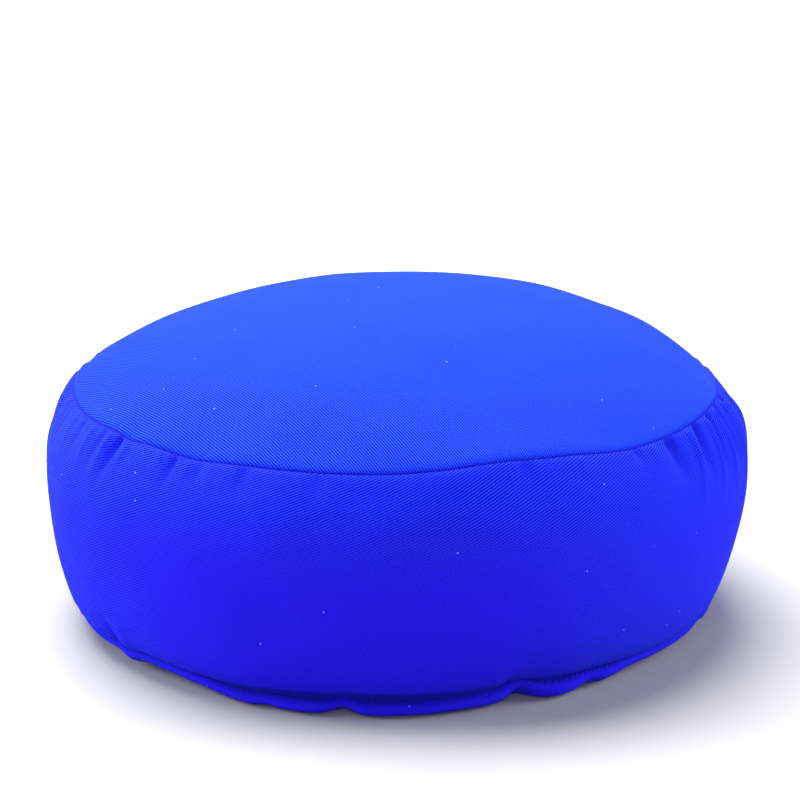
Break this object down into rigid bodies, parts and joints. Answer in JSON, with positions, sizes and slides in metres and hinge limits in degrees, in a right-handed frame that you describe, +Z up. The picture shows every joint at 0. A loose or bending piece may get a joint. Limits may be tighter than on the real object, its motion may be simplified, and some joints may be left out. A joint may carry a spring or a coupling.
{
  "type": "floor cushion",
  "caption": "Round boxed floor cushion with a crowned top, a gathered side band and a zip at the back of its base, over a filled inner bag.",
  "frame": {"origin": "on the floor under the middle of the cushion", "axes": "+Z up, -Y towards the front, +Y towards the zip at the back"},
  "size_m": [0.33, 0.33, 0.15],
  "materials": {
    "cover_twill": "royal blue cotton twill, matt",
    "seam_thread": "blue polyester sewing thread",
    "zip_tape": "blue woven polyester tape",
    "zip_coil": "blue nylon coil",
    "zip_metal": "nickel plated",
    "label_satin": "white satin ribbon, blank",
    "inner_calico": "unbleached cotton calico",
    "hulls": "loose buckwheat hulls"
  },
  "bodies": {
    "cushion": {"cover_top_panel": "cover_twill", "cover_side_band": "cover_twill", "cover_bottom_panel": "cover_twill", "top_seam_thread": "seam_thread", "bottom_seam_thread": "seam_thread", "band_join_thread": "seam_thread", "zip_stitching_upper": "seam_thread", "zip_stitching_lower": "seam_thread", "zip_tape_upper": "zip_tape", "zip_tape_lower": "zip_tape", "zip_coil_upper": "zip_coil", "zip_coil_lower": "zip_coil", "zip_top_stop_upper": "zip_metal", "zip_top_stop_lower": "zip_metal", "zip_bottom_stop": "zip_metal", "care_label": "label_satin", "inner_bag_top": "inner_calico", "inner_bag_band": "inner_calico", "inner_bag_bottom": "inner_calico", "inner_bag_top_seam_thread": "inner_calico", "inner_bag_bottom_seam_thread": "inner_calico", "hull_filling": "hulls"},
    "zip_slider": {"zip_slider": "zip_metal"},
    "zip_pull": {"zip_pull": "zip_metal"}
  },
  "joints": [
    {"name": "zip_slider_travel", "type": "hinge", "parent": "cushion", "child": "zip_slider", "pos_m": [0, 0, 0], "axis": [0, 0, -1], "range_deg": [0, 106.5]},
    {"name": "zip_pull_flip", "type": "hinge", "parent": "zip_slider", "child": "zip_pull", "pos_m": [-0.12197, 0.09098, 0.00724], "axis": [-0.3542, 0.2642, 0.8971], "range_deg": [0, 180]}
  ]
}
